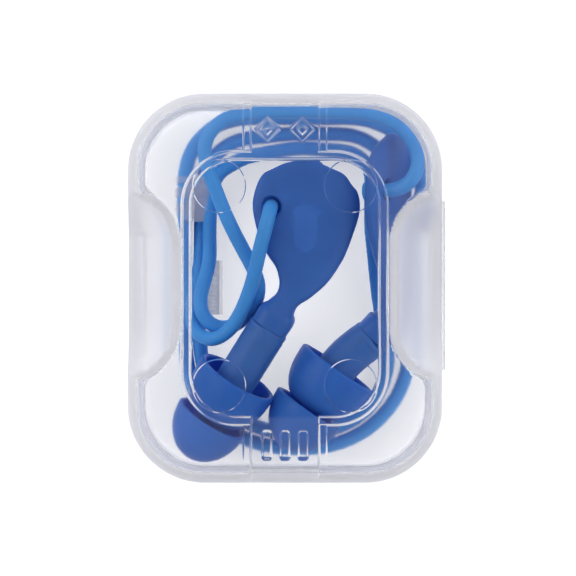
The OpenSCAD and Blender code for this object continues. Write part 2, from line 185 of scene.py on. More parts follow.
# Points stand closer at the channels' edges, under the motifs and at the latch recess's ends. Those
# within KEEP_X and KEEP_Y stay where they are on every ring, so that the edges run straight.
MOTIF_REACH = 4.6
BACKING_PAST = 1
END_X = stations(
    CASE_W / 2 - CORNER_R,
    [(edge - 0.3, edge + 0.3, 0.07)
     for edge in (-CHANNEL_OUTER, -CHANNEL_HALF, CHANNEL_HALF, CHANNEL_OUTER)]
    + [(-MOTIF_REACH, MOTIF_REACH, 0.12)],
)
SIDE_Y = stations(
    CASE_L / 2 - CORNER_R,
    [(edge - 0.12, edge + 0.12, 0.06)
     for edge in (*RECESS_Y, RECESS_Y[0] - BACKING_PAST, RECESS_Y[1] + BACKING_PAST)],
)
KEEP_X, KEEP_Y = 6.8, 11.0
CORNER_STEPS = 28

# widths over which the lid's steps rise
WINDOW_SOFT, LEDGE_SOFT, CHANNEL_SOFT, CHANNEL_END_SOFT = 0.45, 0.3, 0.35, 0.4
MOTIF_SOFT = 0.3
WALL_SOFT = 0.12
SCOOP_SOFT = 0.25

# haze: 0 is polished, 1 is fully matt
TOP_HAZE, SIDE_HAZE, SCOOP_HAZE, FLOOR_HAZE, LATCH_HAZE = 0.22, 0.85, 0.8, 0.1, 0.6
LID_SIDE_IN, LID_SIDE_SOFT = 1.9, 1.5
BASE_SIDE_IN, BASE_SIDE_SOFT = 2.1, 1.4


def spread(places, keep, reach):
    """Places along a side of another length: those near its middle stay, the others move."""
    full = places[-1]
    size = np.abs(places)
    beyond = keep + (size - keep) * (reach - keep) / (full - keep)
    return np.sign(places) * np.where(size > keep, beyond, size)


def outline(half_w, half_l, radius):
    """A rectangle with round corners, as points in a fixed order, anticlockwise from -Y."""
    flat_x, flat_y = half_w - radius, half_l - radius
    points = []

    def corner(cx, cy, start):
        for step in range(1, CORNER_STEPS):
            angle = math.radians(start + 90 * step / CORNER_STEPS)
            points.append((cx + radius * math.cos(angle), cy + radius * math.sin(angle)))

    along_x, along_y = spread(END_X, KEEP_X, flat_x), spread(SIDE_Y, KEEP_Y, flat_y)
    points += [(x, -half_l) for x in along_x]
    corner(flat_x, -flat_y, -90)
    points += [(half_w, y) for y in along_y]
    corner(flat_x, flat_y, 0)
    points += [(x, half_l) for x in along_x[::-1]]
    corner(-flat_x, flat_y, 90)
    points += [(-half_w, y) for y in along_y[::-1]]
    corner(-flat_x, -flat_y, 180)
    return np.array(points)


def case_ring(inset):
    """Half width, half length and corner radius of the case's outline, drawn in by inset."""
    return np.array([CASE_W / 2 - inset, CASE_L / 2 - inset, max(CORNER_R - inset, 0.0)])


def window_ring(grow):
    return np.array([WINDOW_W / 2 + grow, WINDOW_L / 2 + grow, WINDOW_R + grow])


def rows_to_points(rows):
    """Rings of points from (ring, z) rows, as one array (row, place, xyz)."""
    rings = []
    for ring, z in rows:
        ring = outline(*(case_ring(ring) if np.isscalar(ring) else ring))
        rings.append(np.column_stack([ring, np.full(len(ring), z)]))
    return np.array(rings)


def window_rows(start_inset, z, step):
    """Flat rings from the case's edge to just inside the window, close together at its two steps."""
    outer, band, fine = WINDOW_STEP / 2, 0.4, 0.06
    edge, first = case_ring(start_inset), window_ring(outer + band)
    count = int((edge[0] - first[0]) / step)
    rings = [edge + (first - edge) * t for t in np.linspace(0, 1, count, endpoint=False)]
    grows = [*np.arange(outer + band, outer - band, -fine), 0.7, 0.55,
             *np.arange(band, -band, -fine), -0.5, -1.0]
    rings += [window_ring(grow) for grow in grows]
    return [(ring, z) for ring in rings]


def edge_arc(start_inset, radius, z_flat, rising, steps):
    """The quarter circle from a side wall to a flat face."""
    rows = []
    for step in range(steps + 1):
        angle = math.radians(90 * step / steps)
        drop = radius * (1 - math.sin(angle))
        rows.append((start_inset + radius * (1 - math.cos(angle)),
                     z_flat - drop if rising else z_flat + drop))
    return rows


def scoop_surface(x, y, grow):
    """Height of the finger scoops, far above where there is none: a rod with ball ends."""
    beyond = np.maximum(np.abs(y - SCOOP_Y) - SCOOP_HALF, 0)
    reach = (SCOOP_R + grow) ** 2 - (np.abs(x) - scoop_x) ** 2 - beyond**2
    return np.where(reach > 0, scoop_z - np.sqrt(np.maximum(reach, 0)), FAR_ABOVE)


def top_depth(x, y):
    """How far the window and the channels lie below the lid's top."""
    window = rounded_rect_distance(x, y, WINDOW_W, WINDOW_L, WINDOW_R)
    step = rounded_rect_distance(x, y, WINDOW_W + WINDOW_STEP, WINDOW_L + WINDOW_STEP,
                                 WINDOW_R + WINDOW_STEP / 2)
    half_depth = WINDOW_DEPTH / 2
    depth = half_depth * ramp(step, WINDOW_SOFT) + half_depth * ramp(window, WINDOW_SOFT)
    inner, outer = np.abs(x) - CHANNEL_HALF, np.abs(x) - CHANNEL_OUTER
    for sign, full in ((1, TOP_CHANNEL_DEPTH), (-1, WINDOW_DEPTH)):
        beyond = ramp(WINDOW_L / 2 - CHANNEL_IN - sign * y, CHANNEL_END_SOFT)
        channel = CHANNEL_LEDGE * ramp(outer, LEDGE_SOFT)
        channel += (full - CHANNEL_LEDGE) * ramp(inner, CHANNEL_SOFT)
        depth = np.maximum(depth, channel * beyond)
    return depth


def motifs(x, y):
    """Plain raised marks in the channels: two diamonds above and three bars below."""
    raised = np.zeros_like(x)
    for at in (-DIAMOND_X, DIAMOND_X):
        away = np.abs(x - at) + np.abs(y - DIAMOND_Y)
        diamond, hollow = ((away - size) / math.sqrt(2) for size in (DIAMOND_R, DIAMOND_HOLE_R))
        raised = np.maximum(raised, ramp(diamond, MOTIF_SOFT) - ramp(hollow, MOTIF_SOFT))
    for at in (-BAR_PITCH, 0.0, BAR_PITCH):
        bar = rounded_rect_distance(x - at, y - BAR_Y, BAR_W, BAR_L, BAR_R)
        raised = np.maximum(raised, ramp(bar, MOTIF_SOFT))
    return MOTIF_H * raised


def in_recess(points, grow):
    """1 where a point of the left wall lies within the latch recess's length."""
    low, high = RECESS_Y
    along = np.abs(points[..., 1] - (low + high) / 2) - (high - low) / 2 - grow
    on_left = (points[..., 0] < 0) * (np.abs(points[..., 1]) < CASE_L / 2 - CORNER_R)
    return ramp(along, WALL_SOFT) * on_left


def lid_haze(x, y, z):
    """How matt the lid is: polished in the window, satin round it, matt on its sides and scoops."""
    window = ramp(rounded_rect_distance(x, y, WINDOW_W, WINDOW_L, WINDOW_R), 0.3)
    side = ramp(-rounded_rect_distance(x, y, CASE_W, CASE_L, CORNER_R) - LID_SIDE_IN, LID_SIDE_SOFT)
    beyond = np.maximum(np.abs(y - SCOOP_Y) - SCOOP_HALF, 0)
    from_scoop = np.sqrt((np.abs(x) - scoop_x) ** 2 + beyond**2 + (z - scoop_z) ** 2) - SCOOP_R
    scoop = ramp(from_scoop - WALL - 0.15, 0.2)
    return np.maximum(TOP_HAZE * (1 - window), np.maximum(SIDE_HAZE * side, SCOOP_HAZE * scoop))


def base_haze(x, y, z):
    """How matt the base is: matt on its sides, nearly clear on its floor."""
    side = ramp(-rounded_rect_distance(x, y, CASE_W, CASE_L, CORNER_R) - BASE_SIDE_IN, BASE_SIDE_SOFT)
    return np.maximum(SIDE_HAZE * side, FLOOR_HAZE)


def latch_haze(x, y, z):
    return np.full_like(x, LATCH_HAZE)


def lid_shell():
    """The lid's outside and inside as rings from the rim to the window, joined at the rim."""
    wall_z = [LID_RIM + RIM_BEVEL, NOTCH_TOP + 0.05, NOTCH_TOP + 0.2, 13.2]
    wall_z += list(np.arange(13.8, CASE_H - EDGE_R - 0.2, 0.5))
    outer_rows = [(RIM_BEVEL, LID_RIM)] + [(0, z) for z in wall_z]
    outer_rows += edge_arc(0, EDGE_R, CASE_H, True, 10)
    outer_rows += window_rows(EDGE_R + 0.15, CASE_H, 0.17)
    outer = rows_to_points(outer_rows)
    x, y = outer[..., 0], outer[..., 1]
    z = np.minimum(outer[..., 2], CASE_H - top_depth(x, y) + motifs(x, y))
    z = smooth_min(z, scoop_surface(x, y, 0), SCOOP_SOFT)
    outer[..., 2] = np.maximum(z, LID_RIM + (NOTCH_TOP - LID_RIM) * in_recess(outer, 0))

    inner_wall_z = [LID_RIM, 12.2, 12.6, 13.0, 13.8, 13.95]
    inner_wall_z += list(np.arange(14.4, CASE_H - SKIN - INNER_EDGE_R - 0.2, 0.6))
    inner_rows = [(WALL, z) for z in inner_wall_z]
    inner_rows += edge_arc(WALL, INNER_EDGE_R, CASE_H - SKIN, True, 6)
    inner_rows += window_rows(WALL + INNER_EDGE_R + 0.2, CASE_H - SKIN, 0.24)
    inner = rows_to_points(inner_rows)
    x, y = inner[..., 0], inner[..., 1]
    z = np.minimum(inner[..., 2], CASE_H - PAD_SKIN - top_depth(x, y))
    z = smooth_min(z, scoop_surface(x, y, WALL), SCOOP_SOFT)
    inner[..., 2] = np.maximum(z, LID_RIM + (NOTCH_TOP - LID_RIM) * in_recess(inner, 0))
    low = inner[..., 2] < NOTCH_TOP + BACKING_UP
    inner[..., 0] += (BACKING_IN - WALL) * in_recess(inner, BACKING_PAST) * low

    count = outer.shape[1]
    verts = np.concatenate([outer.reshape(-1, 3), inner.reshape(-1, 3)])
    start = outer.shape[0] * count
    faces = grid_faces(outer.shape[0], count)
    faces += grid_faces(inner.shape[0], count, start, flip=True)
    for k in range(count):
        n = (k + 1) % count
        faces.append([k, start + k, start + n, n])
    faces.append(list(range(start - count, start)))
    faces.append(list(range(len(verts) - count, len(verts)))[::-1])
    return piece("lid_shell", verts, faces, [clear_lid], "lid", node="case_lid",
                 haze=lid_haze)


def base_shell():
    """The base's outside, its lip and its inside as rings from the underside to the floor."""
    outer_rows = [(9.0, 0), (6, 0)]
    outer_rows += edge_arc(0, EDGE_R, 0, False, 10)[::-1]
    outer_rows += [(0, z) for z in (3.4, RECESS_FOOT - 0.15, RECESS_FOOT - 0.02, RECESS_FOOT + 0.12)]
    outer_rows += [(0, z) for z in (6, 8, 9.5, BASE_RIM - RIM_BEVEL)] + [(RIM_BEVEL, BASE_RIM)]
    outer_rows += [(LIP_OUT, BASE_RIM), (LIP_OUT, LIP_TOP - 0.15), (LIP_OUT + 0.15, LIP_TOP)]
    inner_rows = [(LIP_IN - 0.1, LIP_TOP), (LIP_IN, LIP_TOP - 0.1), (LIP_IN, 9.6), (WALL, 9.1)]
    inner_rows += [(WALL, z) for z in (7, 4.5)]
    inner_rows += edge_arc(WALL, INNER_EDGE_R, SKIN, False, 6)
    inner_rows += [(inset, SKIN) for inset in (3.2, 4.5, 9.0)]
    outer = rows_to_points(outer_rows)
    inner = rows_to_points(inner_rows)
    deep = RECESS_IN * in_recess(outer, 0) * (outer[..., 2] > RECESS_FOOT)
    pushed = np.maximum(outer[..., 0], -CASE_W / 2 + deep)
    outer[..., 0] = np.where(deep > 0, pushed, outer[..., 0])
    backing = in_recess(inner, BACKING_PAST) * (inner[..., 2] > SKIN + 0.3)
    pushed = np.maximum(inner[..., 0], -CASE_W / 2 + WALL + (BACKING_IN - WALL) * backing)
    inner[..., 0] = np.where(backing > 0, pushed, inner[..., 0])
    rings = np.concatenate([outer, inner])
    count = rings.shape[1]
    verts = rings.reshape(-1, 3)
    faces = grid_faces(len(rings), count)
    faces.append(list(range(count))[::-1])
    faces.append(list(range(len(verts) - count, len(verts))))
    return piece("base_shell", verts, faces, [clear_case], "base", node="case_base",
                 haze=base_haze)


def hinge():
    """A thin web outside the wall, with a groove along the bend line."""
    groove_depth, groove_w, edge_round, bend_half = 0.28, 0.16, 0.5, 0.5
    out_steps, in_steps, length_steps = 24, 16, 40
    low, high = web_low - [CENTRE_X, 0, 0], web_high - [CENTRE_X, 0, 0]
    middle_z = (low[2] + high[2]) / 2
    half = (high[2] - low[2]) / 2
    profile = []
    for step in range(out_steps + 1):
        t = step / out_steps * 2 - 1
        groove = groove_depth * math.exp(-(t / groove_w) ** 2)
        profile.append((high[0] - 0.02 - groove - edge_round * t**6, middle_z + half * t))
    profile += [(low[0] + 0.03, middle_z + half * t) for t in np.linspace(1, -1, in_steps + 1)]
    ends = np.concatenate([[low[1], low[1] + 0.2],
                           np.linspace(low[1] + 0.6, high[1] - 0.6, length_steps),
                           [high[1] - 0.2, high[1]]])
    rings = []
    for y in ends:
        near_end = min(y - low[1], high[1] - y)
        squeeze = 0.9 if near_end < 0.1 else 1.0
        rings.append([(low[0] + (x - low[0]) * squeeze, y, middle_z + (z - middle_z) * squeeze)
                      for x, z in profile])
    verts = np.array(rings).reshape(-1, 3)
    faces = grid_faces(len(ends), len(profile), flip=True)
    faces.append(list(range(len(profile))))
    faces.append(list(range(len(verts) - len(profile), len(verts)))[::-1])
    web = piece("hinge_strip", verts, faces, [clear_case], None, node="hinge_web",
                haze=latch_haze)
    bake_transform(web)
    return web


def latch():
    """The snap tongue: a thin plate with soft edges, a hook inside and three grip ribs outside."""
    plate_t, skin_in, edge_r = 1.1, 0.12, 0.25
    rib_h, rib_half, rib_z, ribs_from, ribs_to = 0.12, 0.45, 1.6, 1.2, 3.2
    hook_z, hook_half = 0.4, 0.4
    low, high = tongue_low - [CENTRE_X, 0, 0], tongue_high - [CENTRE_X, 0, 0]
    plate_in = low[0] + plate_t
    ys = np.concatenate([[low[1]], low[1] + np.array([0.08, 0.25, 0.5]),
                         np.linspace(low[1] + 0.9, high[1] - 0.9, 30),
                         high[1] - np.array([0.5, 0.25, 0.08]), [high[1]]])
    zs = np.concatenate([[low[2]], low[2] + np.array([0.08, 0.25]),
                         np.linspace(low[2] + 0.5, high[2] - 0.3, 34), [high[2]]])
    outside, inside = [], []
    for z in zs:
        for y in ys:
            edge = min(y - low[1], high[1] - y, z - low[2])
            up = z - low[2]
            soft = edge_r * (1 - math.sqrt(max(0.0, 1 - (1 - min(edge / 0.5, 1)) ** 2)))
            on_ribs = ribs_from < up < ribs_to and edge > 1
            rib = rib_h * max(0.0, math.cos((up - rib_z) * math.pi / rib_half)) * on_ribs
            outside.append((low[0] + skin_in + soft - rib, y, z))
            hook = (high[0] - plate_in) * ramp(abs(up - hook_z) - hook_half, 0.3) * (edge > 0.3)
            inside.append((plate_in + hook - soft * 0.5, y, z))
    columns = len(ys)
    verts = np.array(outside + inside)
    start = len(outside)
    faces = []
    for i in range(len(zs) - 1):
        for k in range(columns - 1):
            a, b = i * columns + k, (i + 1) * columns + k
            faces.append([a, b, b + 1, a + 1])
            faces.append([start + a, start + a + 1, start + b + 1, start + b])
    border = list(range(columns))
    border += [i * columns + columns - 1 for i in range(1, len(zs))]
    border += [(len(zs) - 1) * columns + k for k in range(columns - 2, -1, -1)]
    border += [i * columns for i in range(len(zs) - 2, 0, -1)]
    for a, b in zip(border, border[1:] + border[:1]):
        faces.append([a, b, start + b, start + a])
    return piece("snap_tongue", verts, faces, [clear_case], "tongue", node="latch_tongue",
                 haze=latch_haze)


# ---- materials ------------------------------------------------------------

# clear plastic: its tint, the white of its haze, and how the haze turns into roughness and milk
PLASTIC_TINT, PLASTIC_IOR = (0.955, 0.954, 0.960, 1), 1.49
MILK_TINT, SHADE_TINT = (0.95, 0.95, 0.985, 1), (0.95, 0.95, 0.96, 1)
POLISHED, MATT = 0.015, 0.38
MILK_POWER, MILK_SHARE = 2.4, 0.68
MARK_EDGE = 0.09
# soft plastic: light's reach inside it in metres, and its colour's patches per metre
GLOW_RADIUS = (0.0008, 0.0014, 0.003)
SOFT_IOR = 1.45
PATCH_SCALE = 160
FILM_ROUGHNESS = 0.3


def add(nodes, kind, inputs=None, **settings):
    """A shader node with the given values on its own sockets, and its settings."""
    made = nodes.new(f"ShaderNode{kind}")
    for socket, value in (inputs or {}).items():
        made.inputs[socket].default_value = value
    for setting, value in settings.items():
        setattr(made, setting, value)
    return made


def mix(nodes, links, share, first, second):
    """A mix of two shaders; share is a number, or the output that gives it."""
    made = add(nodes, "MixShader")
    if isinstance(share, float):
        made.inputs["Fac"].default_value = share
    else:
        links.new(share, made.inputs["Fac"])
    links.new(first.outputs[0], made.inputs[1])
    links.new(second.outputs[0], made.inputs[2])
    return made


def material(name):
    """An empty node material: itself, its nodes, its links and its output's surface."""
    made = bpy.data.materials.new(name)
    made.use_nodes = True
    nodes = made.node_tree.nodes
    nodes.clear()
    return made, nodes, made.node_tree.links, add(nodes, "OutputMaterial").inputs["Surface"]


def bump(nodes, links, scale, detail, strength, distance):
    """Fine noise as a bump; scale is in features per metre."""
    place = add(nodes, "TexCoord")
    noise = add(nodes, "TexNoise", {"Scale": scale, "Detail": detail})
    made = add(nodes, "Bump", {"Strength": strength, "Distance": distance})
    links.new(place.outputs["Object"], noise.inputs["Vector"])
    links.new(noise.outputs["Fac"], made.inputs["Height"])
    return made


def clear_plastic(name, marked):
    """Injection-moulded clear plastic, matt and milky by its haze. Lamps shine through it."""
    made, nodes, links, surface = material(name)
    haze = add(nodes, "Attribute", attribute_name="haze").outputs["Fac"]
    rough = add(nodes, "MapRange", {"To Min": POLISHED, "To Max": MATT})
    links.new(haze, rough.inputs["Value"])
    glass = add(nodes, "BsdfPrincipled", {"Base Color": PLASTIC_TINT, "IOR": PLASTIC_IOR,
                                          "Transmission Weight": 1.0})
    links.new(rough.outputs["Result"], glass.inputs["Roughness"])
    relief = bump(nodes, links, scale=420, detail=3, strength=0.08, distance=0.00012)
    if marked:
        relief = ring_marks(nodes, links, relief)
    links.new(relief.outputs["Normal"], glass.inputs["Normal"])
    milk = add(nodes, "BsdfDiffuse", {"Color": MILK_TINT})
    steep = add(nodes, "Math", {1: MILK_POWER}, operation="POWER")
    links.new(haze, steep.inputs[0])
    share = add(nodes, "Math", {1: MILK_SHARE}, operation="MULTIPLY")
    links.new(steep.outputs["Value"], share.inputs[0])
    hazed = mix(nodes, links, share.outputs["Value"], glass, milk)
    through = add(nodes, "BsdfTransparent", {"Color": SHADE_TINT})
    path = add(nodes, "LightPath")
    mixed = mix(nodes, links, path.outputs["Is Shadow Ray"], hazed, through)
    links.new(mixed.outputs["Shader"], surface)
    return made


def ring_marks(nodes, links, relief):
    """The round ejector marks under the window, as a fine step in the surface."""
    last = add(nodes, "TexCoord").outputs["Object"]
    for operation, value in (
        ("SUBTRACT", (CENTRE_X * MM, MARK_MIDDLE_Y * MM, 0)), ("ABSOLUTE", (0, 0, 0)),
        ("SUBTRACT", (MARK_X * MM, MARK_Y * MM, 0)), ("MULTIPLY", (1, 1, 0)),
    ):
        step = add(nodes, "VectorMath", {1: value}, operation=operation)
        links.new(last, step.inputs[0])
        last = step.outputs["Vector"]
    length = add(nodes, "VectorMath", operation="LENGTH")
    links.new(last, length.inputs[0])
    disc = add(nodes, "MapRange", {"From Min": (MARK_R - MARK_EDGE) * MM,
                                   "From Max": (MARK_R + MARK_EDGE) * MM},
               interpolation_type="SMOOTHSTEP")
    links.new(length.outputs["Value"], disc.inputs["Value"])
    step = add(nodes, "Bump", {"Distance": MARK_H * MM})
    links.new(disc.outputs["Result"], step.inputs["Height"])
    links.new(relief.outputs["Normal"], step.inputs["Normal"])
    return step


def soft_plastic(name, low, high, roughness, grain, subsurface=0.0, glow_through=0.0):
    """Moulded soft plastic: two close colours in slow cloudy patches and a fine matt grain.

    A share of the light passes thin walls where glow_through is above zero.
    """
    made, nodes, links, surface = material(name)
    skin = add(nodes, "BsdfPrincipled", {
        "Roughness": roughness, "IOR": SOFT_IOR, "Subsurface Weight": subsurface,
        "Subsurface Radius": GLOW_RADIUS, "Subsurface Scale": 1.0,
    })
    relief = bump(nodes, links, scale=grain, detail=4, strength=0.18, distance=0.00008)
    links.new(relief.outputs["Normal"], skin.inputs["Normal"])
    place = add(nodes, "TexCoord")
    cloud = add(nodes, "TexNoise", {"Scale": PATCH_SCALE, "Detail": 3})
    links.new(place.outputs["Object"], cloud.inputs["Vector"])
    shades = add(nodes, "ValToRGB")
    for element, position, colour in zip(shades.color_ramp.elements, (0.3, 0.7), (low, high)):
        element.position = position
        element.color = (*colour, 1)
    links.new(cloud.outputs["Fac"], shades.inputs["Fac"])
    links.new(shades.outputs["Color"], skin.inputs["Base Color"])
    lit = add(nodes, "BsdfTranslucent")
    links.new(shades.outputs["Color"], lit.inputs["Color"])
    links.new(mix(nodes, links, glow_through, skin, lit).outputs["Shader"], surface)
    return made


clear_lid = clear_plastic("clear_lid", True)
clear_case = clear_plastic("clear_case", False)
grip_blue = soft_plastic("grip_blue", (0.037, 0.150, 0.530), (0.047, 0.176, 0.590),
                         roughness=0.42, grain=900)
stem_blue = soft_plastic("stem_blue", (0.044, 0.160, 0.490), (0.054, 0.180, 0.550),
                         roughness=0.45, grain=700, subsurface=0.1)
flange_blue = soft_plastic("flange_blue", (0.042, 0.212, 0.690), (0.054, 0.240, 0.760),
                           roughness=0.38, grain=600, subsurface=0.3, glow_through=0.35)
pin_blue = soft_plastic("pin_blue", (0.012, 0.036, 0.140), (0.016, 0.048, 0.170),
                        roughness=0.5, grain=800)
cord_blue = soft_plastic("cord_blue", (0.058, 0.340, 0.830), (0.070, 0.375, 0.880),
                         roughness=0.40, grain=1500, subsurface=0.15)


def film_material(name, color, cover=None):
    """Thin milky film that hides the given share of what is behind it, or its haze's share."""
    made, nodes, links, surface = material(name)
    skin = add(nodes, "BsdfPrincipled", {"Base Color": (*color, 1), "Roughness": FILM_ROUGHNESS})
    relief = bump(nodes, links, scale=500, detail=2, strength=0.4, distance=0.0002)
    links.new(relief.outputs["Normal"], skin.inputs["Normal"])
    if cover is None:
        cover = add(nodes, "Attribute", attribute_name="haze").outputs["Fac"]
    mixed = mix(nodes, links, cover, add(nodes, "BsdfTransparent"), skin)
    links.new(mixed.outputs["Shader"], surface)
    return made


tie_film = film_material("tie_film", (0.72, 0.72, 0.80), cover=0.32)
tail_film = film_material("tail_film", (0.75, 0.73, 0.76))

# ---- camera ---------------------------------------------------------------

CAMERA_X, CAMERA_UP = 0.05, 600.0
VIEW_SIDE = 87.3
SENSOR_W = 36
camera_data = bpy.data.cameras.new("camera")
camera_data.sensor_width = SENSOR_W
camera_data.lens = SENSOR_W * CAMERA_UP / VIEW_SIDE
camera = bpy.data.objects.new("camera", camera_data)
camera.location = (CAMERA_X * MM, 0, (LID_RIM + CAMERA_UP) * MM)
bpy.context.collection.objects.link(camera)
bpy.context.scene.camera = camera
bpy.context.view_layer.update()

# ---- cord -----------------------------------------------------------------

# the free stretches from each grip's hole, held by its stop, down to the ring
LEAD_A = [
    (-2.1, 12.4, 12.9), (-2.1, 12.3, 15.2), (-2.3, 11.6, 16.7), (-2.9, 9.0, 17.5),
    (-3.7, 6.2, 17.1), (-4.3, 3.4, 16.3), (-4.9, 0.9, 15.3), (-5.8, -1.7, 14.1),
    (-7.1, -4.6, 12.7), (-9.0, -7.0, 11.3), (-11.4, -8.0, 10.0), (-13.4, -6.9, 8.6),
    (-14.3, -4.4, 7.3), (-13.9, -2.0, 6.7),
]
LEAD_B = [
    (13.05, 14.6, 14.15), (14.3, 14.6, 14.7), (16.0, 14.65, 15.5), (17.4, 14.9, 16.4),
    (18.8, 15.7, 17.0), (19.8, 17.4, 17.3), (20.1, 19.8, 17.0), (19.0, 22.3, 16.8),
    (16.6, 24.8, 16.6), (12.6, 26.2, 16.4), (7.0, 26.5, 16.2), (1.0, 26.5, 16.0),
    (-4.5, 26.4, 15.7), (-8.8, 25.6, 15.2), (-11.4, 23.5, 14.8), (-12.3, 20.6, 14.4),
    (-11.2, 16.8, 14.1), (-9.9, 13.4, 13.9), (-8.5, 10.0, 13.8), (-7.2, 7.4, 13.6),
    (-5.8, 4.8, 13.4), (-4.4, 2.2, 13.0), (-3.8, -0.4, 12.3), (-4.7, -2.7, 11.1),
    (-6.3, -4.8, 10.1), (-8.4, -6.1, 9.2), (-10.8, -6.0, 8.8), (-12.5, -4.5, 9.3),
    (-13.0, -2.2, 9.4), (-12.5, 0.4, 9.0),
]
# the coil's outline: its sides and corners
COIL_LEFT, COIL_RIGHT, COIL_TOP, COIL_BOTTOM = -16.5, 20.4, 27.2, -25.8
COIL_TOP_R, COIL_BOTTOM_R = 10.5, 16.8
# Each strand round the ring: place on the outline (a side or a corner a step, clockwise from the
# left side's foot), distance inside the outline, and height.
STRAND_A = [
    (0.45, 3.5, 5.6), (0.6, 3.6, 4.0), (0.8, 3.6, 2.8), (1.0, 3.8, 2.6), (1.5, 4.6, 2.6),
    (2.0, 4.2, 2.6), (2.5, 3.4, 2.6), (3.0, 3.6, 2.5), (3.5, 4.2, 2.5), (3.85, 3.0, 2.5),
    (4.1, 2.3, 2.5), (4.4, 1.5, 2.5), (4.7, 1.1, 2.5), (5.0, 1.2, 2.5), (6.0, 1.2, 2.5),
    (7.0, 1.2, 2.5), (8.0, 1.2, 2.5), (8.4, 1.1, 2.5), (9.0, 1.1, 2.5), (10.0, 1.1, 2.5),
    (10.6, 1.1, 2.5), (11.0, 1.1, 2.8), (11.3, 0.9, 3.1), (11.6, 0.2, 3.2), (11.85, -0.4, 3.0),
    (12.05, -0.6, 2.8),
]
STRAND_B = [
    (0.5, 5.0, 8.0), (0.62, 5.0, 6.2), (0.78, 4.9, 4.9), (0.95, 5.3, 4.6), (1.5, 7.6, 3.6),
    (2.0, 7.0, 3.0), (2.5, 5.7, 2.8), (3.0, 6.2, 2.6), (3.5, 6.9, 2.5), (4.0, 6.9, 2.5),
    (4.2, 7.4, 2.5), (4.5, 6.6, 2.5), (4.8, 5.8, 2.5), (5.0, 4.6, 2.5), (5.5, 3.6, 2.5),
    (6.0, 3.6, 2.5), (7.0, 3.6, 2.5), (8.0, 3.5, 2.6), (8.15, 3.2, 3.5), (8.27, 2.3, 4.5),
    (8.36, 1.3, 4.8), (8.6, 1.1, 4.8), (9.0, 1.1, 4.8), (10.0, 1.1, 4.8), (10.6, 1.1, 4.8),
    (11.0, 1.1, 5.0), (11.3, 0.9, 5.6), (11.6, 0.2, 6.6), (11.85, -0.4, 8.0), (12.05, -0.6, 9.2),
]
# the turn where the cord doubles back on itself
FOLD = [
    (21.0, 13.2, 2.7), (21.0, 11.2, 3.3), (21.0, 9.9, 4.8), (21.0, 9.6, 6.4), (21.0, 10.2, 8.0),
    (21.0, 11.7, 9.3), (21.0, 13.6, 9.7),
]
RING_STEP = 0.2
SPLINE_STEPS, RELAX_TIMES = 12, 6
CORD_STEP = 0.8


def ring_point(place, inset):
    """A point of the coil's outline drawn in by inset."""
    left, right = COIL_LEFT + inset, COIL_RIGHT - inset
    top, bottom = COIL_TOP - inset, COIL_BOTTOM + inset
    rt, rb = COIL_TOP_R - inset, COIL_BOTTOM_R - inset
    part, t = int(place) % 8, place % 1
    straight = [
        ((left, bottom + rb), (left, top - rt)), None,
        ((left + rt, top), (right - rt, top)), None,
        ((right, top - rt), (right, bottom + rb)), None,
        ((right - rb, bottom), (left + rb, bottom)), None,
    ][part]
    if straight:
        (x0, y0), (x1, y1) = straight
        return x0 + (x1 - x0) * t, y0 + (y1 - y0) * t
    cx, cy, r, start = {
        1: (left + rt, top - rt, rt, 180), 3: (right - rt, top - rt, rt, 90),
        5: (right - rb, bottom + rb, rb, 0), 7: (left + rb, bottom + rb, rb, 270),
    }[part]
    angle = math.radians(start - 90 * t)
    return cx + r * math.cos(angle), cy + r * math.sin(angle)


def ring_strand(keys):
    """Points along a strand of the ring, with its inset and height eased between its keys."""
    places, insets, heights = (np.array(column) for column in zip(*keys))
    route = []
    for place in np.arange(places[0], places[-1] + 1e-6, RING_STEP):
        x, y = ring_point(place, np.interp(place, places, insets))
        route.append((x, y, np.interp(place, places, heights)))
    return route


def refined(values, per_step):
    """Catmull-Rom values through the given numbers or points."""
    values = np.array(values, float)
    padded = np.concatenate([[2 * values[0] - values[1]], values, [2 * values[-1] - values[-2]]])
    made = []
    for p0, p1, p2, p3 in zip(padded, padded[1:], padded[2:], padded[3:]):
        for t in np.linspace(0, 1, per_step, endpoint=False):
            made.append(0.5 * (2 * p1 + (p2 - p0) * t + (2 * p0 - 5 * p1 + 4 * p2 - p3) * t**2
                               + (3 * p1 - p0 - 3 * p2 + p3) * t**3))
    made.append(values[-1])
    return np.array(made)


def spline(points, spacing):
    """An even, smooth line through the points: refined, respaced, then relaxed a little."""
    line = refined(points, SPLINE_STEPS)
    along = np.concatenate([[0], np.cumsum(np.linalg.norm(np.diff(line, axis=0), axis=1))])
    even = np.linspace(0, along[-1], int(along[-1] / spacing) + 1)
    line = np.column_stack([np.interp(even, along, line[:, axis]) for axis in range(3)])
    for _ in range(RELAX_TIMES):
        line[1:-1] = (line[:-2] + 2 * line[1:-1] + line[2:]) / 4
    return line


def cord():
    """The whole cord as one tube, from grip a's hole round the ring twice to grip b's hole."""
    route = LEAD_A + ring_strand(STRAND_A) + FOLD + ring_strand(STRAND_B)[::-1] + LEAD_B[::-1]
    line = (spline(route, CORD_STEP) + [CENTRE_X, 0, 0]) * MM
    data = bpy.data.curves.new("cord", "CURVE")
    data.dimensions = "3D"
    data.bevel_depth = CORD_D / 2 * MM
    data.bevel_resolution = 5
    data.use_fill_caps = True
    strand = data.splines.new("POLY")
    strand.points.add(len(line) - 1)
    for point, place in zip(strand.points, line):
        point.co = (*place, 1)
    strand.use_smooth = True
    data.materials.append(cord_blue)
    obj = bpy.data.objects.new("cord", data)
    bpy.context.collection.objects.link(obj)
    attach(obj, "base")
    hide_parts("cord_lead_a", "cord_lead_b", "cord_coil")
    return obj, line


cord_obj, cord_line = cord()

# ---- plugs ----------------------------------------------------------------

